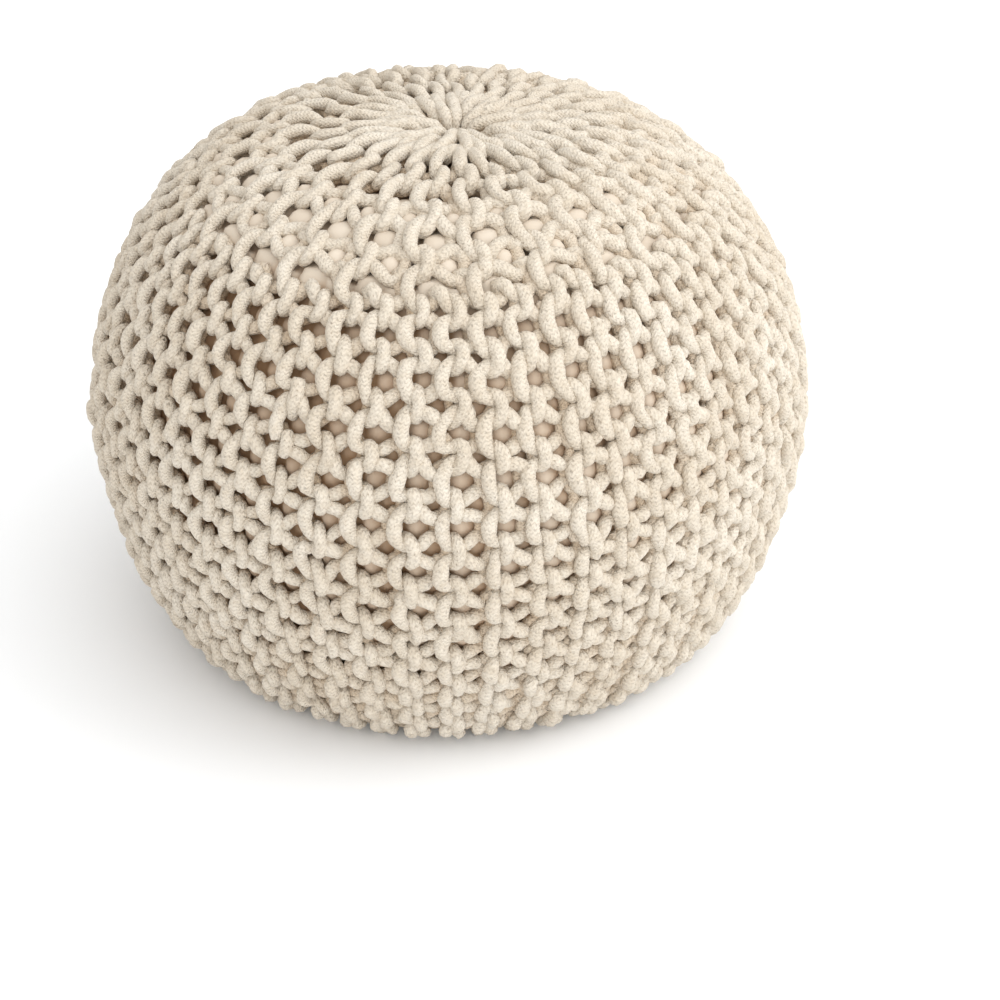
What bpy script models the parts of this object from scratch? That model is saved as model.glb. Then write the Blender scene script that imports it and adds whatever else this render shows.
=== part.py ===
"""A round knitted floor pouf: a thick knit cover drawn in at both poles over a filled casing.

Metres, +Z up. The pouf stands on Z = 0 and its widest ring is centred on the Z axis.
"""
import math

import bpy
import numpy as np

NAME = "knitted_pouf"

# Outer form of the cover
RADIUS = 0.25           # half of the widest diameter
CROWN_RISE = 0.1945     # from the widest ring up to the crown
BASE_DROP = 0.170       # from the widest ring down to the floor
BELLY_DEPTH = 0.2284    # how far the belly's curve would go down if the floor did not press it flat
BASE_ROUNDING = 0.022   # height over which the belly turns into the flat base
BREADTH_POWER = 3.4     # 2 is an ellipse, more gives broader shoulders
CROWN_POWER = 1.74
BELLY_POWER = 1.97

# Drawn-in poles: the cover's two edges are gathered round small holes
HOLE_RADIUS = 0.007
CROWN_DIP = 0.009
CROWN_DIP_REACH = 0.026
BASE_DIP = 0.007
BASE_DIP_REACH = 0.032
GATHERS = 27
FIRST_GATHER = math.radians(-96.6)   # angle of one gather's peak, counter-clockwise from +X
GATHER_DEPTH = 0.0032
GATHER_FULL = 0.040     # radius where the gathers are deepest
GATHER_FADE = 0.062     # radius where they start to flatten out
GATHER_END = 0.125      # radius where they are gone

# Layers
COVER_WALL = 0.017      # two layers of cord, a ridge over a valley
GAP = 0.0003            # clearance between the cover and the casing

# Handmade unevenness, the same for the cover and for what is in it
OVAL = 0.005            # share of the radius, twice round
FOUR_BULGES = 0.003     # share of the radius, four times round
CROWN_SWAY = 0.0022     # height of the crown's slow rise and fall
GATHER_SHIFT = 0.0065   # how far the crown's hole sits to +X
SHIFT_REACH = 0.09      # radius over which that shift dies out

# Mesh density
STEPS = 4 * GATHERS
OUTER_RINGS = 23
INNER_RINGS = 11
TURN_WEIGHT = 0.085     # metres of curve that one radian of turning counts for when rings are spread
CURVE_POINTS = 1500

CREAM = (0.80, 0.74, 0.65, 1.0)
CASING_CREAM = (0.72, 0.63, 0.52, 1.0)


def ease(low, high, value):
    """Smooth step from 0 at low to 1 at high."""
    share = np.clip((value - low) / (high - low), 0.0, 1.0)
    return share * share * (3.0 - 2.0 * share)


def outer_curve():
    """The cover's outside in the XZ half plane, from the crown's centre down to the base's centre."""
    turn = np.linspace(0.0, math.pi / 2, CURVE_POINTS)
    crown_x = RADIUS * np.sin(turn) ** (2 / BREADTH_POWER)
    crown_z = CROWN_RISE * np.cos(turn) ** (2 / CROWN_POWER)
    belly_x = RADIUS * np.cos(turn[1:]) ** (2 / BREADTH_POWER)
    belly_z = -BELLY_DEPTH * np.sin(turn[1:]) ** (2 / BELLY_POWER)
    near_floor = np.maximum(BASE_ROUNDING - np.abs(belly_z + BASE_DROP), 0.0)
    belly_z = np.maximum(belly_z, -BASE_DROP) + near_floor ** 2 / (4 * BASE_ROUNDING)
    x = np.concatenate((crown_x, belly_x))
    z = np.concatenate((crown_z, belly_z)) + BASE_DROP
    z -= CROWN_DIP * np.exp(-(x / CROWN_DIP_REACH) ** 2) * (z > BASE_DROP)
    z += BASE_DIP * np.exp(-(x / BASE_DIP_REACH) ** 2) * (z < BASE_DROP)
    length = np.concatenate(([0.0], np.cumsum(np.hypot(np.diff(x), np.diff(z)))))
    even = np.linspace(0.0, length[-1], CURVE_POINTS)
    return np.stack((np.interp(even, length, x), np.interp(even, length, z)), axis=1)


def inward(curve):
    """Unit normals of the curve that point into the pouf."""
    along = np.gradient(curve, axis=0)
    along /= np.linalg.norm(along, axis=1)[:, None]
    return np.stack((along[:, 1], -along[:, 0]), axis=1)


def spread_rings(curve, count):
    """Indices of count points on the curve, closer together where it turns."""
    along = np.gradient(curve, axis=0)
    heading = np.unwrap(np.arctan2(along[:, 1], along[:, 0]))
    step = np.hypot(*np.diff(curve, axis=0).T) + TURN_WEIGHT * np.abs(np.diff(heading))
    travelled = np.concatenate(([0.0], np.cumsum(step)))
    wanted = np.linspace(0.0, travelled[-1], count)
    return np.searchsorted(travelled, wanted).clip(0, len(curve) - 1)


def gather_amount(radius):
    """Depth of the gathers at a distance from the pole."""
    return GATHER_DEPTH * ease(0.0, GATHER_FULL, radius) * (1.0 - ease(GATHER_FADE, GATHER_END, radius))


def turned(name, profile, closed, gather):
    """Turn a profile (x, z) round the Z axis and return the finished mesh."""
    count = len(profile)
    edges = [(i, i + 1) for i in range(count - 1)]
    if closed:
        edges.append((count - 1, 0))
    outline = bpy.data.meshes.new(name + "_outline")
    outline.from_pydata([(x, 0.0, z) for x, z in profile], edges, [])
    depth = outline.attributes.new("gather", "FLOAT", "POINT")
    depth.data.foreach_set("value", gather)
    shape = bpy.data.objects.new(name + "_outline", outline)
    bpy.context.scene.collection.objects.link(shape)
    screw = shape.modifiers.new("Turn", "SCREW")
    screw.axis = "Z"
    screw.steps = STEPS
    screw.render_steps = STEPS
    screw.use_merge_vertices = True
    screw.merge_threshold = 0.00005
    screw.use_smooth_shade = True
    evaluated = shape.evaluated_get(bpy.context.evaluated_depsgraph_get())
    mesh = bpy.data.meshes.new_from_object(evaluated)
    mesh.name = name
    bpy.data.objects.remove(shape)
    bpy.data.meshes.remove(outline)
    return mesh


def make_handmade(mesh):
    """Press the gathers in, then give the whole form its slight unevenness."""
    place = np.empty(len(mesh.vertices) * 3)
    mesh.vertices.foreach_get("co", place)
    place = place.reshape(-1, 3)
    gather = np.empty(len(mesh.vertices))
    mesh.attributes["gather"].data.foreach_get("value", gather)
    x, y, z = place.T
    radius = np.hypot(x, y)
    angle = np.arctan2(y, x)
    height = CROWN_RISE + BASE_DROP
    level = z / height
    side = np.where(z > BASE_DROP, -1.0, 1.0)
    fold = gather * (1.0 - np.cos(GATHERS * (angle - FIRST_GATHER))) / 2
    middle = np.sin(math.pi * level.clip(0.0, 1.0))
    swell = 1.0 + middle * (OVAL * np.cos(2 * angle - 0.9) + FOUR_BULGES * np.cos(4 * angle + 0.7))
    upper = level.clip(0.0, 1.0) ** 2
    sway = CROWN_SWAY * upper * np.cos(2 * angle + 1.1) * ease(0.0, RADIUS, radius)
    shift = GATHER_SHIFT * upper * np.exp(-(radius / SHIFT_REACH) ** 2)
    place[:, 0] = x * swell + shift
    place[:, 1] = y * swell
    place[:, 2] = z + side * fold + sway
    mesh.vertices.foreach_set("co", place.ravel())
    mesh.attributes.remove(mesh.attributes["gather"])
    mesh.update()


def fabric(name, colour, roughness):
    material = bpy.data.materials.new(name)
    material.use_nodes = True
    shader = material.node_tree.nodes["Principled BSDF"]
    shader.inputs["Base Color"].default_value = colour
    shader.inputs["Roughness"].default_value = roughness
    shader.inputs["Metallic"].default_value = 0.0
    material.diffuse_color = colour
    return material


def add_part(name, mesh, material, collection):
    make_handmade(mesh)
    mesh.shade_smooth()
    mesh.set_sharp_from_angle(angle=math.radians(50))
    mesh.materials.clear()
    mesh.materials.append(material)
    part = bpy.data.objects.new(name, mesh)
    collection.objects.link(part)
    return part


def cover_mesh(curve, normal):
    """The knit cover: outer curve down, inner curve back up, open at both drawn holes."""
    outside = curve[curve[:, 0] >= HOLE_RADIUS]
    outside = outside[spread_rings(outside, OUTER_RINGS)]
    picks = inner_picks(curve, normal)
    inside = curve[picks] + normal[picks] * COVER_WALL
    profile = np.concatenate((outside, inside[::-1]))
    gather = np.concatenate((gather_amount(outside[:, 0]), np.zeros(len(inside))))
    return turned("knit_cover", profile, True, gather)


def inner_picks(curve, normal):
    """Points of the outer curve from which the cover's inner side is set in."""
    inner = curve + normal * COVER_WALL
    usable = np.flatnonzero(inner[:, 0] >= HOLE_RADIUS)
    return usable[spread_rings(inner[usable], INNER_RINGS)]


def casing_mesh(curve, normal):
    """The filled casing: the same rings as the cover's inner side, set in by the gap and closed."""
    picks = inner_picks(curve, normal)
    rings = curve[picks] + normal[picks] * (COVER_WALL + GAP)
    top = (0.0, rings[0, 1])
    bottom = (0.0, rings[-1, 1])
    profile = np.concatenate(([top], rings, [bottom]))
    return turned("inner_casing", profile, False, np.zeros(len(profile)))


def main():
    for old in list(bpy.data.objects):
        bpy.data.objects.remove(old, do_unlink=True)
    collection = bpy.data.collections.new(NAME)
    bpy.context.scene.collection.children.link(collection)
    curve = outer_curve()
    normal = inward(curve)
    cord = fabric("cream_knit_cord", CREAM, 0.9)
    cotton = fabric("cream_casing_cotton", CASING_CREAM, 0.95)
    add_part("knit_cover", cover_mesh(curve, normal), cord, collection)
    add_part("inner_casing", casing_mesh(curve, normal), cotton, collection)


main()
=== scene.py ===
"""Looks of the knitted floor pouf: every cord of its garter-stitch cover, and the casing behind the holes.

The cover is knitted sideways, so its courses run from pole to pole. Two courses make a ridge: the heads of
one course's loops and the arcs between the next course's loops lock together on the outside. The heads of
that next course lock with the course after it deep in the valley. Metres, +Z up, as in the CAD.
"""

import math

import bpy
import numpy as np
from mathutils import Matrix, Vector


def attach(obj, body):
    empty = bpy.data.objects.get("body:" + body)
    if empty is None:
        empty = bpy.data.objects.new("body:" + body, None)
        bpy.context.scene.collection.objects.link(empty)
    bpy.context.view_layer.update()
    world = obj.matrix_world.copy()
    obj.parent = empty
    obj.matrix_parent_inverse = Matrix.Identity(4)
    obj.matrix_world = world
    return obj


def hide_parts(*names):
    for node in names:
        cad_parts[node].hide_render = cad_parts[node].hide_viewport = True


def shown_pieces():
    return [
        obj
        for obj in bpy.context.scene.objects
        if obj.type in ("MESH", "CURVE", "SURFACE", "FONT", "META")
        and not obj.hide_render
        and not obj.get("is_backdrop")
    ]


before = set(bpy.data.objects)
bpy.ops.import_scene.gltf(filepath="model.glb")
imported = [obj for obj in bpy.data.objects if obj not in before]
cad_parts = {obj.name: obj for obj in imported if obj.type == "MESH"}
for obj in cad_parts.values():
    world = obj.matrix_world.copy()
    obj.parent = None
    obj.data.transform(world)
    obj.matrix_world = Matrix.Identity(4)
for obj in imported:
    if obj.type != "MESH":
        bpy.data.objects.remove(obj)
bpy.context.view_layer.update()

# ---------------------------------------------------------------- form of the pouf, as in the CAD
RADIUS = 0.25                        # half of the widest diameter
CROWN_RISE = 0.1945                  # from the widest ring up to the crown
BASE_DROP = 0.170                    # from the widest ring down to the floor
BELLY_DEPTH = 0.2284                 # how far the belly would go down if the floor did not press it flat
BASE_ROUNDING = 0.022                # height over which the belly turns into the flat base
BREADTH_POWER = 3.4                  # 2 is an ellipse, more gives broader shoulders
CROWN_POWER = 1.74
BELLY_POWER = 1.97
CROWN_DIP = 0.009                    # depth of the dip round a drawn hole
CROWN_DIP_REACH = 0.026              # and the radius over which it dies out
BASE_DIP = 0.007
BASE_DIP_REACH = 0.032
OVAL = 0.005                         # share of the radius, twice round
OVAL_PHASE = -0.9
FOUR_BULGES = 0.003                  # share of the radius, four times round
BULGES_PHASE = 0.7
CROWN_SWAY = 0.0022                  # height of the crown's slow rise and fall
SWAY_PHASE = 1.1
GATHER_SHIFT = 0.0065                # how far the crown's hole sits to +X
SHIFT_REACH = 0.09                   # radius over which that shift dies out
CURVE_POINTS = 3000

# ---------------------------------------------------------------- the knit
FULL_RIDGES = 27                     # ridges that run from pole to pole
RIDGES = 2 * FULL_RIDGES             # with a short one between each two
FIRST_RIDGE = math.radians(-96.6)    # angle of ridge 0, counter-clockwise from +X
PANELS = 9                           # meshes that the cover is split into
CORD = 0.0045                        # radius of the cord
EDGE = 0.022                         # where the first stitch starts, along the curve from the crown's centre
STITCHES = 22                        # loops in a full course
SHORT_START = 4                      # arcs skipped by a short course at each end
SHORT_FADE = (0.014, 0.010)          # room is made for it from this far outside its end to this far inside
TRIM_IN_FRONT = 5                    # control rows left out at each end of a short ridge's first course
TRIM_BEHIND = 2                      # and of its second one
# Distance along the curve from the crown's centre, and the stitch pitch there
PITCH = (
    (0.000, 0.0390),
    (0.150, 0.0385),
    (0.190, 0.0300),
    (0.230, 0.0320),
    (0.310, 0.0300),
    (0.400, 0.0280),
    (0.520, 0.0250),
    (0.590, 0.0280),
    (0.630, 0.0385),
    (0.740, 0.0390),
)
VALLEY_REACH = 0.0235                # from a ridge to the locked loops in the valley on its right
VALLEY_SHARE = 0.77                  # or this share of the way to the next ridge, if that is less
VALLEY_ROUNDING = 0.004
STRETCHED = (0.085, 0.120, 0.172, 0.200)    # lengths between which the knit flattens against the casing
FLATTENING = 0.38                    # share by which depths shrink there
EVENING = 0.6                        # and share by which the cord's thickness evens out
CHAIN_ROOM = 0.0225                  # ridge spacing below which a ridge's chain is squeezed
LEAST_CHAIN = 0.25                   # the least share of its width that it keeps
THINNING = 0.14                      # share by which its cord would be thinner with no width left
CROWDED = (0.018, 0.028)             # ridge spacings between which crowded prongs rise to their full height
STOUTER = 0.085                      # the cord is this much fuller on one side, and thinner on the other
STOUT_SIDE = math.radians(-25)       # angle of the fuller side
TIGHT_FLATTENING = 0.30              # and the knit this much flatter on that side
RIBBED = (0.40, 0.50)                # lengths between which the ridges turn into narrow, deep ribs
RIB_NARROWING = 0.24                 # share by which a rib is narrower than a ridge
RIB_DEPTH = 0.0020                   # how much deeper the prongs between ribs lie
LOOSE_RIBS = 0.70                    # share of both on the side away from the stout one
LOOSE_SIDE = (0.2, 0.9)              # how far towards that side they set in, and where they are complete
POLE_RADIUS = 0.004                  # distances aside turn into angles at this radius or more

# ---------------------------------------------------------------- unevenness of the knit
rng = np.random.default_rng(54)
NUDGES = np.array((0.0010, 0.0014, 0.0006, 0.045))    # of each half stitch: aside, along, height, thickness
# Slow waves over the pouf: size, length along the curve, times round the pouf, phase
RIDGE_WAVES = (
    (0.0050, 0.23, 3, 0.6),
    (0.0045, 0.41, -5, 2.2),
)
STITCH_WAVES = (
    (0.0022, 0.33, 4, 0.0),
    (0.0014, -0.1 * math.pi, 9, 0.0),
)
WAVES_FADE = (0.04, 0.16)            # distances from a pole between which they grow
OWN_WANDER = 0.0035                  # each ridge's own waves, in radians
OWN_WAVES = 3
SLOWEST_OWN = 2.3                    # half waves from pole to pole in the slowest
OWN_PHASE = 2.1                      # radians of phase for each unit of the ridge's random draw
OWN_FADE = (0.05, 0.16)

# ---------------------------------------------------------------- loops and strands
FRONT = -0.0044                      # cord centre of the arcs on a ridge, below the outer surface
BACK = -0.0130                       # cord centre of the arcs in a valley
MIDDLE = (FRONT + BACK) / 2
# Half a loop, from the arc between two loops to the loop's head. Anchor: 0 the ridge, 1 the valley on its
# right, -1 the valley on its left, or a share of the way there. Aside is metres from the anchor, ahead the
# share of a pitch from the loop's middle, then height off the outer surface and share of the cord's radius.
HEADS_BEHIND = (
    (0, -0.0064, 0.500, FRONT + 0.0004, 1.10),
    (0, -0.0061, 0.385, FRONT + 0.0003, 1.07),
    (0, -0.0048, 0.265, FRONT - 0.0006, 0.98),
    (0, -0.0026, 0.160, -0.0068, 0.86),
    (0, 0.0002, 0.095, -0.0094, 0.76),
    (0, 0.0050, 0.082, -0.0108, 0.80),
    (0.40, 0.0000, 0.130, -0.0070, 0.98),
    (0.58, 0.0000, 0.215, -0.0066, 1.05),
    (0.77, 0.0000, 0.305, -0.0084, 1.00),
    (1, -0.0004, 0.325, -0.0114, 0.88),
    (1, 0.0030, 0.210, BACK + 0.0004, 0.84),
    (1, 0.0042, 0.000, BACK, 0.86),
)
HEADS_IN_FRONT = (
    (-1, -0.0045, 0.500, BACK, 0.84),
    (-1, -0.0040, 0.370, BACK, 0.84),
    (-1, -0.0028, 0.250, BACK + 0.0007, 0.82),
    (-1, 0.0000, 0.180, -0.0112, 0.80),
    (-0.50, 0.0000, 0.220, -0.0106, 0.80),
    (0, -0.0024, 0.268, -0.0126, 0.76),
    (0, 0.0016, 0.274, -0.0090, 0.90),
    (0, 0.0041, 0.198, -0.0052, 1.01),
    (0, 0.0052, 0.095, FRONT, 1.00),
    (0, 0.0055, 0.000, FRONT + 0.0002, 0.96),
)
# The little turn that ends a short row, in the same columns
TURN = (
    (0, -0.0050, 0.330, FRONT - 0.0002, 1.00),
    (0, -0.0076, 0.400, FRONT - 0.0016, 1.00),
    (0, -0.0100, 0.370, MIDDLE - 0.0004, 0.92),
    (0, -0.0085, 0.300, MIDDLE - 0.0022, 0.84),
)
NEAR_ARC = 0.2                       # rows further ahead than this are nudged with the arc, not with the head
UPPER_PRONG_SUNK = 0.0018            # the leg above a head lies deeper and is thinner than the one below it
UPPER_PRONG_THIN = 0.95
CROWDED_SUNK = 0.0030                # both legs lie deeper where ridges crowd together
# Strands at a drawn hole: aside, distance from the pole along the curve, height, share of the radius
OUTER_STRAND = (
    (0.000, 0.0078, -0.0160, 0.60),
    (0.000, 0.0100, -0.0076, 0.72),
    (0.000, 0.0145, -0.0034, 0.92),
    (0.001, 0.0200, -0.0030, 1.04),
    (0.003, 0.0300, -0.0034, 1.02),
    (0.004, 0.0390, -0.0040, 1.04),
)
INNER_STRAND = (
    (-0.001, 0.0060, -0.0170, 0.70),
    (-0.002, 0.0120, -0.0120, 0.82),
    (-0.005, 0.0290, -0.0090, 0.98),
    (-0.007, 0.0420, -0.0066, 1.02),
)
DIVES = (None, 0.024, 0.037)         # how far from the pole a strand goes under its neighbours, by level
DIVE_DEPTH = 0.0084
DIVE_BLEND = 0.007                   # it comes up over twice this distance
POLE_LEAN = 0.0026                   # how far a strand leans aside
LEAN_STARTS = (0.004, 0.012)         # distances from the pole between which the lean sets in
LEAN_ENDS = (0.030, 0.060)           # and those between which it is gone again
LEAN_FULLER = 0.07                   # a strand that leans one way is fuller, and one that leans back thinner
CROWN_PROUD = 0.0045                 # how far the cords stand proud of the crown
PROUD_FADE = (0.10, 0.26)            # distances from the crown's centre over which that dies out
DIP_FILL = 0.0034                    # and how far they fill its dip

# ---------------------------------------------------------------- the cord's mesh
SIDES = 9
PATH_STEPS = 6                       # points on the path for each control row
SMOOTHINGS = 2
LEAST_GAP = 1e-5                     # added to the root of each gap, so that no two rows coincide
LEAST_RINGS = 8
SAMPLE = 0.0033                      # distance between the rings of a cord's mesh, where it shows
DEEP_SAMPLE = 0.0056                 # and deep in the valleys
SEEN_ABOVE = -0.0100                 # height off the outer surface above which it shows
SEEN_BLEND = 0.001
LUMPS = 0.076                        # unevenness of the cord's radius
ANY_SIDE = (0.3, 0.2, 0.9)           # a direction that no cord starts along
UV_SHIFT = 0.37                      # how far a ridge's pattern is shifted along its cord from the last one's
FLOOR_SOFTNESS = 0.0006              # height below which a surface is pressed flat
CORD_UV = "cord"
DEPTH = "depth"

# ---------------------------------------------------------------- the casing's mesh
CASING_DEPTH = -0.0166
CASING_RINGS = 176
CASING_STEPS = 378
HOLE_ROOM = (0.014, 0.029)           # ridge spacings between which the holes open
HOLE_EDGE = 1.5                      # how steeply a bulge ends, 1 being a plain bell
# The two holes of a stitch, beside an arc and beside a head. Centre and half width are across the ridges,
# half length along them, each with what is added where the knit is stretched. The bulge is its height, what
# is added where the holes are open, and what is added where the knit is stretched.
ARC_HOLE = {
    "centre": (0.0056, 0.0020),
    "half_width": (0.0076, 0.0052),
    "half_length": (0.0088, 0.0022),
    "bulge": (0.0022, 0.0030, 0.0028),
}
HEAD_HOLE = {
    "centre": (0.0150, 0.0015),
    "half_width": (0.0050, 0.0026),
    "half_length": (0.0050, 0.0030),
    "bulge": (0.0, 0.0030, 0.0060),
}
TIGHT_SWELL = 0.0034                 # how far the casing comes out on the stout side
STRETCHED_SWELL = 0.0030             # and where the knit is stretched
SWELL_FADE = 0.06                    # distance from a pole over which all of this grows
CASING_LIFT = 0.7                    # share of the cords' lift at the crown


def ease(low, high, value):
    """Smooth step from 0 at low to 1 at high."""
    share = np.clip((value - low) / (high - low), 0.0, 1.0)
    return share * share * (3.0 - 2.0 * share)


def soft_min(a, b, width):
    """The smaller of a and b, rounded where they cross."""
    near = np.maximum(width - np.abs(a - b), 0.0)
    return np.minimum(a, b) - near ** 2 / (4 * width)


def blurred(values, weight, axis):
    """Closed rows of values, each averaged with its two neighbours. Its own weight is given, theirs are 1."""
    return (np.roll(values, 1, axis=axis) + weight * values + np.roll(values, -1, axis=axis)) / (weight + 2)


# ---------------------------------------------------------------- places on the pouf
def make_curve():
    """Length along the outer curve from the crown's centre, with the point and the outward normal there."""
    turn = np.linspace(0.0, math.pi / 2, CURVE_POINTS)
    crown_x = RADIUS * np.sin(turn) ** (2 / BREADTH_POWER)
    crown_z = CROWN_RISE * np.cos(turn) ** (2 / CROWN_POWER)
    belly_x = RADIUS * np.cos(turn[1:]) ** (2 / BREADTH_POWER)
    belly_z = -BELLY_DEPTH * np.sin(turn[1:]) ** (2 / BELLY_POWER)
    near_floor = np.maximum(BASE_ROUNDING - np.abs(belly_z + BASE_DROP), 0.0)
    belly_z = np.maximum(belly_z, -BASE_DROP) + near_floor ** 2 / (4 * BASE_ROUNDING)
    x = np.concatenate((crown_x, belly_x))
    z = np.concatenate((crown_z, belly_z)) + BASE_DROP
    z -= CROWN_DIP * np.exp(-(x / CROWN_DIP_REACH) ** 2) * (z > BASE_DROP)
    z += BASE_DIP * np.exp(-(x / BASE_DIP_REACH) ** 2) * (z < BASE_DROP)
    length = np.concatenate(([0.0], np.cumsum(np.hypot(np.diff(x), np.diff(z)))))
    even = np.linspace(0.0, length[-1], CURVE_POINTS)
    x = np.interp(even, length, x)
    z = np.interp(even, length, z)
    along = np.gradient(np.stack((x, z)), axis=1)
    along /= np.hypot(*along)
    return even, x, z, -along[1], along[0]


CURVE = make_curve()
WHOLE = CURVE[0][-1]


def radius_at(s):
    return np.interp(s, CURVE[0], CURVE[1])


def place(s, angle, height):
    """Points at a length along the curve, an angle round the pouf and a height off its outer surface."""
    x, z, out_x, out_z = (np.interp(s, CURVE[0], column) for column in CURVE[1:])
    radius = x + out_x * height
    z = z + out_z * height
    level = (z / (CROWN_RISE + BASE_DROP)).clip(0.0, 1.0)
    middle = np.sin(math.pi * level)
    bulges = OVAL * np.cos(2 * angle + OVAL_PHASE) + FOUR_BULGES * np.cos(4 * angle + BULGES_PHASE)
    swell = 1.0 + middle * bulges
    sway = CROWN_SWAY * level ** 2 * np.cos(2 * angle + SWAY_PHASE) * ease(0.0, RADIUS, radius)
    shift = GATHER_SHIFT * level ** 2 * np.exp(-(radius / SHIFT_REACH) ** 2)
    return np.stack((
        radius * np.cos(angle) * swell + shift,
        radius * np.sin(angle) * swell,
        z + sway,
    ), axis=-1)


def stitch_places():
    """Length along the curve of every half stitch: even entries are arcs between loops, odd ones heads."""
    at, pitch = np.array(PITCH).T
    places = [EDGE]
    for _ in range(2 * STITCHES):
        places.append(places[-1] + np.interp(places[-1], at, pitch) / 2)
    places = np.array(places)
    stretch = (WHOLE - 2 * EDGE) / (places[-1] - EDGE)
    return EDGE + (places - EDGE) * stretch


HALVES = stitch_places()
SHORT_TOP = HALVES[2 * SHORT_START]
SHORT_BOTTOM = HALVES[2 * (STITCHES - SHORT_START)]


def short_share(s):
    """1 where the short ridges lie between the full ones, 0 near the poles."""
    outside, inside = SHORT_FADE
    below_top = ease(SHORT_TOP - outside, SHORT_TOP + inside, s)
    return below_top * (1.0 - ease(SHORT_BOTTOM - inside, SHORT_BOTTOM + outside, s))


def spacing_at(s):
    """Distance from one ridge to the next."""
    return radius_at(s) * 2 * math.pi / RIDGES * (2.0 - short_share(s))


def valley_at(spacing):
    """Distance from a ridge to the locked loops in the valley on its right."""
    return soft_min(VALLEY_REACH, VALLEY_SHARE * spacing, VALLEY_ROUNDING)


def squeeze_at(spacing):
    """Share of its width that a ridge's chain keeps where ridges crowd together."""
    return np.clip(spacing / CHAIN_ROOM, LEAST_CHAIN, 1.0)


def stretched_at(along):
    """1 where the ridges are far apart and the casing pushes the whole knit outward."""
    return ease(*STRETCHED[:2], along) * (1.0 - ease(*STRETCHED[2:], along))


def off_poles(low, high, along):
    """0 less than the low distance from a pole, 1 beyond the high one."""
    return ease(low, high, along) * (1.0 - ease(WHOLE - high, WHOLE - low, along))


def waves(table, along, angle):
    """Sum of slow waves over the pouf."""
    total = 0.0
    for size, length, times_round, phase in table:
        total = total + size * np.sin(2 * math.pi * along / length + times_round * angle + phase)
    return total


def drift_at(along, angle):
    """How far the ridges wander to one side, in radians, and the stitches along them, in metres."""
    room = off_poles(*WAVES_FADE, along)
    return waves(RIDGE_WAVES, along, angle) * room, waves(STITCH_WAVES, along, angle) * room


def lift_at(along):
    """The cords stand a little proud of the crown and fill its dip."""
    radius = radius_at(along)
    top = along < WHOLE / 2
    proud = CROWN_PROUD * (1.0 - ease(*PROUD_FADE, along))
    return top * (proud + DIP_FILL * np.exp(-(radius / CROWN_DIP_REACH) ** 2))


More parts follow.
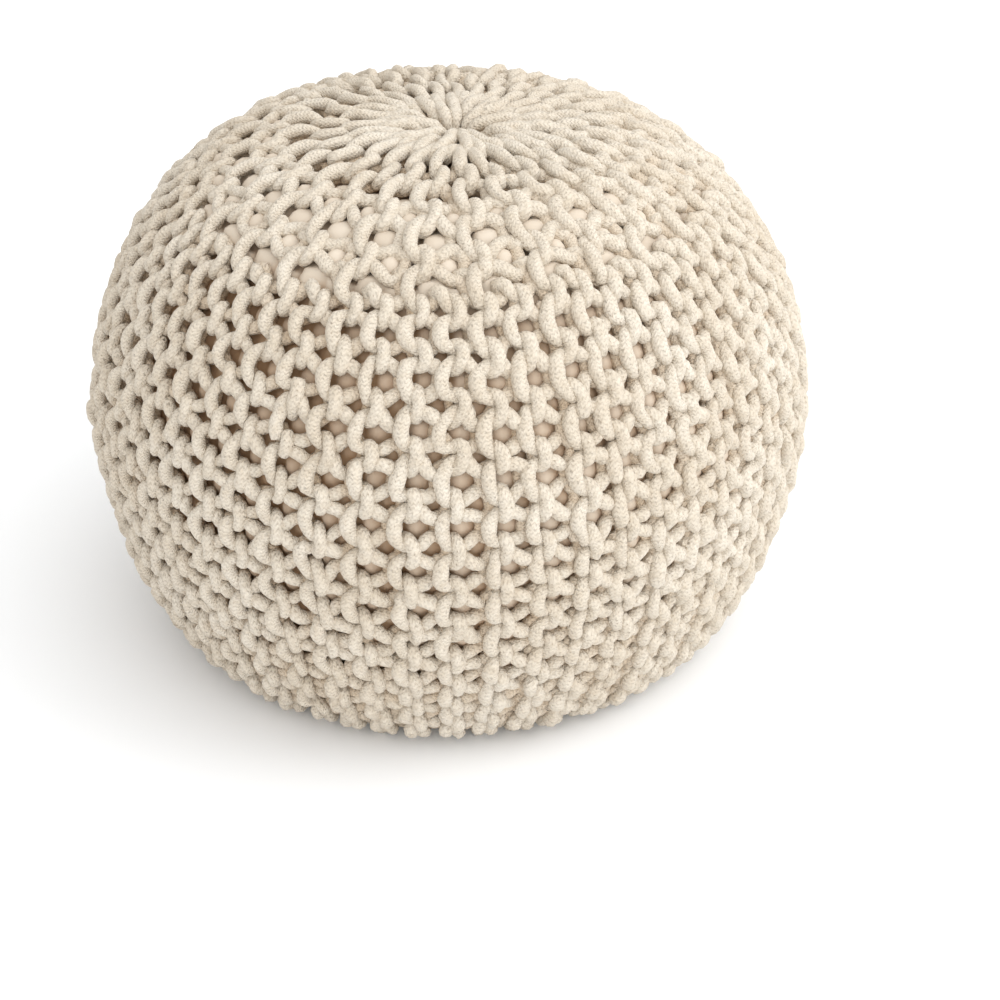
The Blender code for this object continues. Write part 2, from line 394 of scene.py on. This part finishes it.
# ---------------------------------------------------------------- the path of a ridge's cord
class Ridge:
    """Both courses of one ridge, as control rows: aside, along, height and cord radius."""

    def __init__(self, number):
        self.number = number
        self.full = number % 2 == 0
        self.nudge = rng.normal(0.0, 1.0, (2 * STITCHES + 1, len(NUDGES))) * NUDGES
        self.wander = rng.normal(0.0, 1.0, 2 * OWN_WAVES)
        self.lean = rng.normal(0.0, 1.0)
        self.level = 0    # how deep its strands dive at the drawn holes, chosen by make_ridges
        self.angle = FIRST_RIDGE + number * 2 * math.pi / RIDGES
        towards = math.cos(self.angle - STOUT_SIDE)
        self.tight = max(towards, 0.0)
        self.ribbed = LOOSE_RIBS * ease(*LOOSE_SIDE, -towards)
        self.stout = 1.0 + STOUTER * towards

    def row(self, template, loop, side):
        """One control row of a loop; side is -1 before its head and 1 after it."""
        anchor, aside, ahead, height, thick = template
        prong = 0 < anchor < 1
        head = 2 * loop + 1
        pitch = HALVES[head + 1] - HALVES[head - 1]
        along = HALVES[head] + side * ahead * pitch
        spacing = spacing_at(along)
        valley = valley_at(spacing)
        centre = anchor * (valley if anchor > 0 else spacing - valley)
        flat = stretched_at(along)
        ribbed = max(ease(*RIBBED, along), self.ribbed * (1.0 - flat))
        squeeze = squeeze_at(spacing) * (1.0 - RIB_NARROWING * ribbed)
        if prong and side < 0:
            height = height - UPPER_PRONG_SUNK
            thick = thick * UPPER_PRONG_THIN
        if prong:
            height = height - CROWDED_SUNK * (1.0 - ease(*CROWDED, spacing)) - RIB_DEPTH * ribbed
        flatter = FLATTENING * flat + TIGHT_FLATTENING * self.tight * (1.0 - flat)
        height = FRONT + (height - FRONT) * (1.0 - flatter)
        thick = thick + (1.0 - thick) * EVENING * flat
        thin = (1.0 - THINNING) + THINNING * squeeze
        nudge = self.nudge[head + side if ahead > NEAR_ARC else head]
        return (
            centre + aside * squeeze + nudge[0],
            along + nudge[1],
            height + nudge[2],
            CORD * thick * thin * (1.0 + nudge[3]) * self.stout,
        )

    def loop(self, half, loop, start=0, stop=0):
        """A whole loop from arc to arc, leaving out start rows at its beginning and stop rows at its end."""
        before = [self.row(row, loop, -1) for row in half[start:]]
        after = [self.row(row, loop, 1) for row in half[stop:-1]][::-1]
        return before + after

    def course(self, half, first, last, start, stop):
        """Loops first to last - 1, one arc row shared by each two."""
        rows = []
        for loop in range(first, last):
            skip = start if loop == first else 1
            rows += self.loop(half, loop, skip, stop if loop == last - 1 else 0)
        return rows

    def strand(self, rows_from_hole, at_crown):
        """A strand that runs out of a drawn hole, as control rows."""
        dive = DIVES[self.level]
        rows = []
        for aside, distance, height, thick in rows_from_hole:
            along = distance if at_crown else WHOLE - distance
            sunk = 0.0
            if dive is not None:
                sunk = DIVE_DEPTH * (1.0 - ease(dive - DIVE_BLEND, dive + DIVE_BLEND, distance))
            lean = self.lean * POLE_LEAN * ease(*LEAN_STARTS, distance) * (1.0 - ease(*LEAN_ENDS, distance))
            aside = aside * squeeze_at(spacing_at(along)) + lean
            rows.append((aside, along, height - sunk, CORD * thick * (1.0 + LEAN_FULLER * self.lean)))
        return rows

    def full_yarn(self):
        """Down one course and back up the other, joined inside both drawn holes."""
        down = self.strand(OUTER_STRAND, at_crown=True)
        down += [self.row(row, 0, 1) for row in HEADS_IN_FRONT[:-1]][::-1]
        down += self.course(HEADS_IN_FRONT, 1, STITCHES - 1, 1, 0)
        down += [self.row(row, STITCHES - 1, -1) for row in HEADS_IN_FRONT[1:-1]]
        down += self.strand(OUTER_STRAND, at_crown=False)[::-1]
        up = self.strand(INNER_STRAND, at_crown=True)
        up += self.course(HEADS_BEHIND, 1, STITCHES - 1, 0, 0)
        up += self.strand(INNER_STRAND, at_crown=False)[::-1]
        return down + up[::-1]

    def short_yarn(self):
        """Down one course and back up the other, turned at both ends."""
        first = SHORT_START
        last = STITCHES - SHORT_START
        down = self.course(HEADS_IN_FRONT, first, last, TRIM_IN_FRONT, TRIM_IN_FRONT)
        bottom = self.turn(last - 1, 1)
        up = self.course(HEADS_BEHIND, first, last, TRIM_BEHIND, TRIM_BEHIND)
        top = self.turn(first, -1)
        return down + bottom[::-1] + up[::-1] + top

    def turn(self, loop, side):
        """The turn at one end of a short ridge, from the second course's arc to behind it."""
        return [self.row(row, loop, side) for row in TURN]

    def yarn(self):
        return np.array(self.full_yarn() if self.full else self.short_yarn())

    def points(self, rows):
        """Rows placed on the pouf, with the slow wander of ridges and stitches."""
        aside, along, height, _ = rows.T
        turn, shift = drift_at(along, self.angle)
        own = 0.0
        for i in range(OWN_WAVES):
            phase = OWN_PHASE * self.wander[i + OWN_WAVES]
            own = own + self.wander[i] * np.sin((i + SLOWEST_OWN) * math.pi * along / WHOLE + phase)
        angle = self.angle + turn + OWN_WANDER * own * off_poles(*OWN_FADE, along)
        angle = angle + aside / np.maximum(radius_at(along), POLE_RADIUS)
        return place(along + shift, angle, height + lift_at(along))


def make_ridges():
    """All ridges. Of each three neighbouring full ones, every one dives to its own level."""
    ridges = [Ridge(number) for number in range(RIDGES)]
    group = len(DIVES)
    for start in range(0, FULL_RIDGES, group):
        for i, level in enumerate(rng.permutation(group)):
            ridges[2 * (start + i)].level = int(level)
    return ridges


def smooth_path(rows):
    """A closed centripetal Catmull-Rom curve through the rows, resampled. The last column is the travel."""
    p0, p1, p2, p3 = (np.roll(rows, shift, axis=0) for shift in (1, 0, -1, -2))
    gaps = [np.linalg.norm((b - a)[:, :3], axis=1) for a, b in ((p0, p1), (p1, p2), (p2, p3))]
    steps = [np.sqrt(gap) + LEAST_GAP for gap in gaps]
    u0 = np.zeros((len(rows), 1))
    u1 = steps[0][:, None]
    u2 = u1 + steps[1][:, None]
    u3 = u2 + steps[2][:, None]
    pieces = []
    for share in np.arange(0.0, 1.0, 1.0 / PATH_STEPS):
        t = u1 + (u2 - u1) * share
        a1 = (u1 - t) / (u1 - u0) * p0 + (t - u0) / (u1 - u0) * p1
        a2 = (u2 - t) / (u2 - u1) * p1 + (t - u1) / (u2 - u1) * p2
        a3 = (u3 - t) / (u3 - u2) * p2 + (t - u2) / (u3 - u2) * p3
        b1 = (u2 - t) / (u2 - u0) * a1 + (t - u0) / (u2 - u0) * a2
        b2 = (u3 - t) / (u3 - u1) * a2 + (t - u1) / (u3 - u1) * a3
        pieces.append((u2 - t) / (u2 - u1) * b1 + (t - u1) / (u2 - u1) * b2)
    dense = np.stack(pieces, axis=1).reshape(-1, rows.shape[1])
    for _ in range(SMOOTHINGS):
        dense = blurred(dense, 2, 0)
    closed = np.vstack((dense, dense[:1]))
    length = np.concatenate(([0.0], np.cumsum(np.linalg.norm(np.diff(closed[:, :3], axis=0), axis=1))))
    seen = ease(SEEN_ABOVE - SEEN_BLEND, SEEN_ABOVE + SEEN_BLEND, (closed[1:, 2] + closed[:-1, 2]) / 2)
    step = DEEP_SAMPLE + (SAMPLE - DEEP_SAMPLE) * seen
    rings = np.concatenate(([0.0], np.cumsum(np.diff(length) / step)))
    even = np.linspace(0.0, rings[-1], max(LEAST_RINGS, int(round(rings[-1]))), endpoint=False)
    columns = [np.interp(even, rings, column) for column in (*closed.T, length)]
    return np.stack(columns, axis=1), length[-1]


# ---------------------------------------------------------------- meshes
def uneven(count):
    """Smooth closed noise over a tube's rings and sides, about 1 in size."""
    lumps = blurred(rng.normal(0.0, 1.0, (count, SIDES)), 2, 0)
    lumps = blurred(lumps, 4, 1)
    return lumps / lumps.std()


def tube(points, radii, travel, length, offset):
    """Vertices, quads and corner UVs of a closed tube. UV is metres along the cord and turns round it."""
    count = len(points)
    tangent = np.roll(points, -1, axis=0) - np.roll(points, 1, axis=0)
    tangent /= np.linalg.norm(tangent, axis=1)[:, None]
    side = np.cross(tangent[0], ANY_SIDE)
    sides = np.empty_like(points)
    for i in range(count):
        side = side - tangent[i] * side.dot(tangent[i])
        side = side / math.sqrt(side.dot(side))
        sides[i] = side
    other = np.cross(tangent, sides)
    first, last = sides[0], sides[-1]
    twist = math.atan2(last.dot(other[0]), last.dot(first))
    unwind = -twist * np.arange(count) / count
    around = np.arange(SIDES) * 2 * math.pi / SIDES
    angle = around[None, :] + unwind[:, None]
    ring = np.cos(angle)[..., None] * sides[:, None] + np.sin(angle)[..., None] * other[:, None]
    lumps = radii[:, None] * (1.0 + LUMPS * uneven(count))
    vertices = points[:, None] + ring * lumps[..., None]
    i, j = np.meshgrid(np.arange(count), np.arange(SIDES), indexing="ij")
    ahead, beside = (i + 1) % count, (j + 1) % SIDES
    quads = np.stack((i * SIDES + j, ahead * SIDES + j, ahead * SIDES + beside, i * SIDES + beside), axis=-1)
    travel = np.append(travel, length) + offset
    u, u_ahead = travel[i], travel[i + 1]
    v, v_beside = j / SIDES, (j + 1) / SIDES
    corners = ((u, v), (u_ahead, v), (u_ahead, v_beside), (u, v_beside))
    uv = np.stack([np.stack(corner, axis=-1) for corner in corners], axis=2)
    return vertices.reshape(-1, 3), quads.reshape(-1, 4), uv.reshape(-1, 2)


def rest_on_floor(vertices):
    """Flatten what would reach below the floor."""
    z = vertices[:, 2]
    pressed = FLOOR_SOFTNESS * np.exp(np.minimum(z / FLOOR_SOFTNESS - 1.0, 0.0))
    vertices[:, 2] = np.where(z < FLOOR_SOFTNESS, pressed, z)
    return vertices


def mesh_from(name, vertices, quads, uv, depth):
    """A smooth mesh of quads, with corner UVs and each vertex's depth in the knit."""
    mesh = bpy.data.meshes.new(name)
    mesh.vertices.add(len(vertices))
    mesh.vertices.foreach_set("co", vertices.astype(np.float32).ravel())
    mesh.loops.add(quads.size)
    mesh.loops.foreach_set("vertex_index", quads.astype(np.int32).ravel())
    mesh.polygons.add(len(quads))
    mesh.polygons.foreach_set("loop_start", np.arange(0, quads.size, 4, dtype=np.int32))
    layer = mesh.uv_layers.new(name=CORD_UV)
    layer.data.foreach_set("uv", uv.astype(np.float32).ravel())
    depths = mesh.attributes.new(DEPTH, "FLOAT", "POINT")
    depths.data.foreach_set("value", depth.astype(np.float32).ravel())
    mesh.update(calc_edges=True)
    mesh.validate()
    mesh.shade_smooth()
    return mesh


def add_piece(name, mesh, material, replaced):
    """A piece of the pouf, in place of one of the CAD's nodes."""
    piece = bpy.data.objects.new(name, mesh)
    bpy.context.scene.collection.objects.link(piece)
    mesh.materials.append(material)
    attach(piece, "root")
    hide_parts(replaced)
    return piece


# ---------------------------------------------------------------- node helpers
WHITE = (1.0, 1.0, 1.0, 1.0)


def new_material(name, finish):
    """A material, its node tree and its shader, with the finish's values on the shader's own sockets."""
    material = bpy.data.materials.new(name)
    material.use_nodes = True
    tree = material.node_tree
    shader = tree.nodes["Principled BSDF"]
    for socket, value in finish.items():
        shader.inputs[socket].default_value = value
    return material, tree, shader


def node(tree, kind, **values):
    """A node with these values on its sockets or, where it has no such socket, on itself."""
    made = tree.nodes.new(kind)
    for key, value in values.items():
        if key in made.inputs:
            made.inputs[key].default_value = value
        else:
            setattr(made, key, value)
    return made


def feed(tree, socket, value):
    """Link another node's output to a socket, or set a plain value there."""
    if hasattr(value, "is_output"):
        tree.links.new(value, socket)
    else:
        socket.default_value = value


def ramp(tree, factor, stops):
    """A colour ramp between two stops, each a position and a colour."""
    made = tree.nodes.new("ShaderNodeValToRGB")
    for element, (position, colour) in zip(made.color_ramp.elements, stops):
        element.position = position
        element.color = colour
    tree.links.new(factor, made.inputs["Fac"])
    return made.outputs["Color"]


def multiplied(tree, factor, first, second):
    """The first colour, multiplied by this share of the second."""
    made = node(tree, "ShaderNodeMix", data_type="RGBA", blend_type="MULTIPLY")
    for socket, value in ((made.inputs[0], factor), (made.inputs[6], first), (made.inputs[7], second)):
        feed(tree, socket, value)
    return made.outputs[2]


def math_node(tree, operation, *values):
    made = node(tree, "ShaderNodeMath", operation=operation)
    for socket, value in zip(made.inputs, values):
        feed(tree, socket, value)
    return made.outputs[0]


def noise(tree, vector, scale, detail=2.0):
    made = node(tree, "ShaderNodeTexNoise", Scale=scale, Detail=detail)
    tree.links.new(vector, made.inputs["Vector"])
    return made.outputs["Fac"]


def noise_round_zero(tree, vector, scale):
    return math_node(tree, "SUBTRACT", noise(tree, vector, scale), 0.5)


def with_painted_depth_shade(tree, colour, stops):
    """The colour with painted shade, darker and warmer as from light bounced between the cords, the deeper it
    lies in the knit.
    """
    depth = node(tree, "ShaderNodeAttribute", attribute_name=DEPTH).outputs["Fac"]
    return multiplied(tree, 1.0, colour, ramp(tree, depth, stops))


def bumped(tree, shader, relief, strength, distance):
    bump = node(tree, "ShaderNodeBump", Strength=strength, Distance=distance)
    tree.links.new(relief, bump.inputs["Height"])
    tree.links.new(bump.outputs["Normal"], shader.inputs["Normal"])


# ---------------------------------------------------------------- the cord's cotton
COLUMNS = 10.0                       # small stitches round the cord
STITCH_LENGTH = 0.0026
SLANT = 1.1                          # how far the arms of a V slant, in stitches for a column's width
WOBBLE_SCALE = 260.0                 # noise that makes the small stitches uneven
COLUMN_WOBBLE = 0.9
RANK_WOBBLE = 1.1
GAP_SHADE_AT_MIDDLE = 0.3                  # how dark the painted shade in the gap between two stitches is in the middle of a column
GAP_SHADE_TO_EDGE = 0.7                    # and how much darker it is at the column's edge
GAP_SHADE_SCALE = 330.0
GAP_SHADE_WOBBLE = 1.3
CREAM = ((0.32, (0.640, 0.563, 0.461, 1.0)), (0.68, (0.698, 0.632, 0.539, 1.0)))
CREAM_SCALE = 16.0
MOTTLE = ((0.30, (0.88, 0.85, 0.81, 1.0)), (0.60, WHITE))
MOTTLE_SCALE = 190.0
MOTTLE_SHARE = 0.75
# Painted shade in the grooves between the small stitches: soft over the whole groove, darker in the deepest
# gaps
SOFT_GROOVE_SHADE = ((0.30, WHITE), (1.00, (0.90, 0.875, 0.845, 1.0)))
SOFT_SHADE_SHARE = 0.75
DARK_GAP_SHADE = ((0.92, WHITE), (1.00, (0.44, 0.36, 0.28, 1.0)))
DARK_SHADE_SHARE = 0.62
# Painted shade deep in the knit, warmed as by light bounced between the cords
CORD_DEPTH_SHADE = ((0.50, WHITE), (0.96, (0.93, 0.75, 0.56, 1.0)))
STITCH_RELIEF = 0.72
COLUMN_RELIEF = -0.30
LUMP_SCALE = 180.0
LUMP_RELIEF = 2.6
FUZZ_SCALE = 520.0
FUZZ_RELIEF = 0.30
CORD_BUMP = (0.7, 0.0010)            # strength and distance
CORD_FINISH = {
    "Roughness": 0.95,
    "Specular IOR Level": 0.08,
    "Sheen Weight": 0.10,
    "Sheen Roughness": 0.6,
}


def cord_material():
    """Cotton cord knitted as a fine tube: columns of small V stitches with painted shade in the gaps between
    them, slightly fuzzy.
    """
    material, tree, shader = new_material("cream_cotton_cord", CORD_FINISH)
    uv = node(tree, "ShaderNodeUVMap", uv_map=CORD_UV).outputs["UV"]
    at = node(tree, "ShaderNodeTexCoord").outputs["Object"]
    split = node(tree, "ShaderNodeSeparateXYZ")
    tree.links.new(uv, split.inputs["Vector"])
    wobble = noise_round_zero(tree, at, WOBBLE_SCALE)
    # Columns round the cord, and V stitches along each
    column_wobble = math_node(tree, "MULTIPLY", wobble, COLUMN_WOBBLE)
    column = math_node(tree, "MULTIPLY_ADD", split.outputs["Y"], COLUMNS, column_wobble)
    across = math_node(tree, "ABSOLUTE", math_node(tree, "SUBTRACT", math_node(tree, "FRACT", column), 0.5))
    rank = math_node(tree, "MULTIPLY", split.outputs["X"], 1.0 / STITCH_LENGTH)
    rank = math_node(tree, "MULTIPLY_ADD", wobble, RANK_WOBBLE, rank)
    slanted = math_node(tree, "MULTIPLY_ADD", across, SLANT, rank)
    wave = math_node(tree, "ABSOLUTE", math_node(tree, "SINE", math_node(tree, "MULTIPLY", slanted, math.pi)))
    edge = math_node(tree, "MULTIPLY", across, 2.0)
    # Painted shade in the gaps where stitches and columns meet
    groove = math_node(tree, "SUBTRACT", 1.0, wave)
    gap_shade_strength = math_node(tree, "MULTIPLY_ADD", edge, GAP_SHADE_TO_EDGE, GAP_SHADE_AT_MIDDLE)
    gap = math_node(tree, "MULTIPLY", groove, gap_shade_strength)
    gap = math_node(tree, "MULTIPLY_ADD", noise_round_zero(tree, at, GAP_SHADE_SCALE), GAP_SHADE_WOBBLE, gap)
    # Colour: cream that varies slowly, mottled, with painted shade in the gaps and painted shade, warmed as
    # by bounced light, deep in the knit
    base = ramp(tree, noise(tree, at, CREAM_SCALE, detail=3.0), CREAM)
    colour = multiplied(tree, MOTTLE_SHARE, base, ramp(tree, noise(tree, at, MOTTLE_SCALE), MOTTLE))
    colour = multiplied(tree, SOFT_SHADE_SHARE, colour, ramp(tree, gap, SOFT_GROOVE_SHADE))
    colour = multiplied(tree, DARK_SHADE_SHARE, colour, ramp(tree, gap, DARK_GAP_SHADE))
    tree.links.new(with_painted_depth_shade(tree, colour, CORD_DEPTH_SHADE), shader.inputs["Base Color"])
    # Relief: the small stitches, lumps in the yarn, and fuzz
    relief = math_node(tree, "MULTIPLY", edge, COLUMN_RELIEF)
    relief = math_node(tree, "MULTIPLY_ADD", wave, STITCH_RELIEF, relief)
    relief = math_node(tree, "MULTIPLY_ADD", noise(tree, at, LUMP_SCALE), LUMP_RELIEF, relief)
    relief = math_node(tree, "MULTIPLY_ADD", noise(tree, at, FUZZ_SCALE, detail=1.0), FUZZ_RELIEF, relief)
    bumped(tree, shader, relief, *CORD_BUMP)
    return material


# ---------------------------------------------------------------- the casing's cotton
CASING_CREAM = ((0.30, (0.620, 0.530, 0.430, 1.0)), (0.70, (0.680, 0.600, 0.505, 1.0)))
CASING_CREAM_SCALE = 40.0
# Painted shade on the casing deep in the knit's holes, warmed as by bounced light
CASING_DEPTH_SHADE = ((0.46, WHITE), (0.92, (0.74, 0.55, 0.40, 1.0)))
PUCKER_SCALE = 120.0
PUCKER_RELIEF = 2.0
WEAVE_SCALE = 1400.0
CASING_BUMP = (0.4, 0.0004)
CASING_FINISH = {"Roughness": 0.92, "Specular IOR Level": 0.08}


def casing_material():
    """Smooth plain-weave cotton, with painted shade where it lies deep behind the knit."""
    material, tree, shader = new_material("casing_cotton", CASING_FINISH)
    at = node(tree, "ShaderNodeTexCoord").outputs["Object"]
    base = ramp(tree, noise(tree, at, CASING_CREAM_SCALE, detail=3.0), CASING_CREAM)
    # Casing colour with painted shade where it lies deep behind the knit
    tree.links.new(with_painted_depth_shade(tree, base, CASING_DEPTH_SHADE), shader.inputs["Base Color"])
    weave = noise(tree, at, WEAVE_SCALE)
    relief = math_node(tree, "MULTIPLY_ADD", noise(tree, at, PUCKER_SCALE), PUCKER_RELIEF, weave)
    bumped(tree, shader, relief, *CASING_BUMP)
    return material


# ---------------------------------------------------------------- the cover
def make_panel(name, ridges, material):
    """Neighbouring ridges as one piece."""
    vertices, quads, uvs, depths = [], [], [], []
    total = 0
    for ridge in ridges:
        rows, length = smooth_path(ridge.yarn())
        points = ridge.points(rows[:, :4])
        found, faces, uv = tube(points, rows[:, 3], rows[:, 4], length, ridge.number * UV_SHIFT)
        vertices.append(rest_on_floor(found))
        quads.append(faces + total)
        uvs.append(uv)
        depths.append(np.repeat(rows[:, 2] / CASING_DEPTH, SIDES))
        total += len(found)
    mesh = mesh_from(name, np.vstack(vertices), np.vstack(quads), np.vstack(uvs), np.concatenate(depths))
    add_piece(name, mesh, material, "knit_cover")


def make_cover(material):
    ridges = make_ridges()
    per_panel = RIDGES // PANELS
    for panel in range(PANELS):
        start = panel * per_panel
        make_panel(f"knit_panel_{panel + 1}", ridges[start:start + per_panel], material)


# ---------------------------------------------------------------- the casing
def bulge(hole, aside, beyond, room, flat):
    """How far the casing swells into its holes; beyond is how far along a ridge the hole's middle is."""
    centre, half_width, half_length = (
        hole[size][0] + hole[size][1] * flat for size in ("centre", "half_width", "half_length"))
    from_middle = ((aside - centre) / half_width) ** 2 + (beyond / half_length) ** 2
    plain, open_more, flat_more = hole["bulge"]
    return np.exp(-from_middle ** HOLE_EDGE) * (plain + open_more * room + flat_more * flat)


def make_casing(material):
    """The filled casing, bulging a little into the knit's holes."""
    lengths = np.linspace(0.0, WHOLE, CASING_RINGS)
    angles = np.arange(CASING_STEPS) * 2 * math.pi / CASING_STEPS
    along, angle = np.meshgrid(lengths, angles, indexing="ij")
    turn, shift = drift_at(along, angle)
    ridge = (angle - turn - FIRST_RIDGE) / (2 * math.pi / RIDGES)
    apart = np.where(short_share(along) > 0.5, 1.0, 2.0)
    spacing = radius_at(along) * 2 * math.pi / RIDGES * apart
    aside = np.mod(ridge / apart, 1.0) * spacing
    level = (along - shift)[..., None]
    to_arc = np.abs(level - HALVES[0::2]).min(axis=-1)
    to_head = np.abs(level - HALVES[1::2]).min(axis=-1)
    flat = stretched_at(along)
    room = ease(*HOLE_ROOM, spacing)
    tight = np.maximum(np.cos(angle - STOUT_SIDE), 0.0) * room * (1.0 - flat)
    swell = bulge(ARC_HOLE, aside, to_arc, room, flat) + bulge(HEAD_HOLE, aside, to_head, room, flat)
    swell = swell + TIGHT_SWELL * tight + STRETCHED_SWELL * flat
    off_pole = ease(0.0, SWELL_FADE, along) * ease(0.0, SWELL_FADE, WHOLE - along)
    height = CASING_DEPTH + swell * off_pole + lift_at(along) * CASING_LIFT
    points = place(along, angle, height)
    points[0] = points[0].mean(axis=0)
    points[-1] = points[-1].mean(axis=0)
    vertices = rest_on_floor(points.reshape(-1, 3))
    i, j = np.meshgrid(np.arange(CASING_RINGS - 1), np.arange(CASING_STEPS), indexing="ij")
    beside = (j + 1) % CASING_STEPS
    here, below = i * CASING_STEPS, (i + 1) * CASING_STEPS
    quads = np.stack((here + j, below + j, below + beside, here + beside), axis=-1).reshape(-1, 4)
    u = (along / WHOLE).ravel()[quads]
    v = (angle / (2 * math.pi)).ravel()[quads]
    v = np.where(v < v.max(axis=1, keepdims=True) - 0.5, v + 1.0, v)
    uv = np.stack((u, v), axis=-1).reshape(-1, 2)
    mesh = mesh_from("casing", vertices, quads, uv, height / CASING_DEPTH)
    piece = add_piece("casing", mesh, material, "inner_casing")


# ---------------------------------------------------------------- stage, light and camera
CAMERA_DISTANCE = 1.6
CAMERA_ELEVATION = math.radians(28.82)
CAMERA_TURN = 0.0216                 # the camera looks this far to the right of the pouf's middle, in radians
CAMERA_DROP = -0.0596                # and this far below it
CAMERA_LENS = 81.64
SENSOR_WIDTH = 36.0
FLOOR_SIZE = 14.0
FLOOR_WHITE = ((0.3, (0.915, 0.925, 0.940, 1.0)), (0.7, (0.935, 0.945, 0.960, 1.0)))
FLOOR_GRAIN = 3.0
FLOOR_FINISH = {"Roughness": 0.9}
SKY_STRENGTH = 1.255                 # on average, and how much stronger it is towards +X, +Y and +Z
SKY_TO_RIGHT = 0.66
SKY_TO_BACK = -0.42
SKY_TO_TOP = 0.15
SKY_HUE = ((0.0, (1.0, 0.988, 0.965, 1.0)), (1.0, (0.985, 0.995, 1.0, 1.0)))    # from -X to +X
KEY_AT = (1.35, -0.55, 1.8)
KEY_TARGET = (0.0, 0.0, 0.15)
KEY_SIZE = 1.0
KEY_POWER = 6.5
KEY_COLOUR = (0.98, 0.99, 1.0)


def make_camera():
    target = Vector((0.0, 0.0, (CROWN_RISE + BASE_DROP) / 2))
    back = Vector((0.0, -math.cos(CAMERA_ELEVATION), math.sin(CAMERA_ELEVATION)))
    ahead = -back
    right = Vector((1.0, 0.0, 0.0))
    up = right.cross(ahead)
    look = ahead * math.cos(CAMERA_TURN) * math.cos(CAMERA_DROP)
    look += right * math.sin(CAMERA_TURN) * math.cos(CAMERA_DROP) + up * math.sin(CAMERA_DROP)
    data = bpy.data.cameras.new("camera")
    data.lens = CAMERA_LENS
    data.sensor_width = SENSOR_WIDTH
    camera = bpy.data.objects.new("camera", data)
    camera.location = target + back * CAMERA_DISTANCE
    camera.rotation_euler = look.to_track_quat("-Z", "Y").to_euler()
    bpy.context.scene.collection.objects.link(camera)
    bpy.context.scene.camera = camera


def make_floor():
    bpy.ops.mesh.primitive_plane_add(size=FLOOR_SIZE, location=(0.0, 0.0, 0.0))
    floor = bpy.context.object
    floor.name = "floor"
    material, tree, shader = new_material("white_floor", FLOOR_FINISH)
    grain = node(tree, "ShaderNodeTexNoise", Scale=FLOOR_GRAIN, Detail=2.0)
    tree.links.new(ramp(tree, grain.outputs["Fac"], FLOOR_WHITE), shader.inputs["Base Color"])
    floor.data.materials.append(material)
    floor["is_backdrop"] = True


def make_sky():
    """A white studio, brighter to the right, to the front and above."""
    world = bpy.data.worlds.new("studio")
    world.use_nodes = True
    tree = world.node_tree
    sky = tree.nodes["Background"]
    split = node(tree, "ShaderNodeSeparateXYZ")
    tree.links.new(node(tree, "ShaderNodeTexCoord").outputs["Generated"], split.inputs["Vector"])
    rightward = math_node(tree, "MULTIPLY_ADD", split.outputs["X"], 0.5, 0.5)
    tree.links.new(ramp(tree, rightward, SKY_HUE), sky.inputs["Color"])
    strength = SKY_STRENGTH
    for axis, share in (("X", SKY_TO_RIGHT), ("Y", SKY_TO_BACK), ("Z", SKY_TO_TOP)):
        strength = math_node(tree, "MULTIPLY_ADD", split.outputs[axis], share, strength)
    tree.links.new(strength, sky.inputs["Strength"])
    bpy.context.scene.world = world


def make_key_light():
    data = bpy.data.lights.new("key", "AREA")
    data.shape = "DISK"
    data.size = KEY_SIZE
    data.energy = KEY_POWER
    data.color = KEY_COLOUR
    light = bpy.data.objects.new("key", data)
    light.location = KEY_AT
    light.rotation_euler = (Vector(KEY_TARGET) - Vector(KEY_AT)).to_track_quat("-Z", "Y").to_euler()
    bpy.context.scene.collection.objects.link(light)


def make_stage():
    make_floor()
    make_sky()
    make_key_light()
    bpy.context.scene.view_settings.view_transform = "Standard"
    bpy.context.scene.view_settings.look = "None"


def main():
    make_camera()
    make_cover(cord_material())
    make_casing(casing_material())
    make_stage()
    bpy.context.view_layer.update()
    triangles = {
        piece.name: sum(len(face.vertices) - 2 for face in piece.data.polygons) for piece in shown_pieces()}
    print("triangles", triangles, sum(triangles.values()))


main()
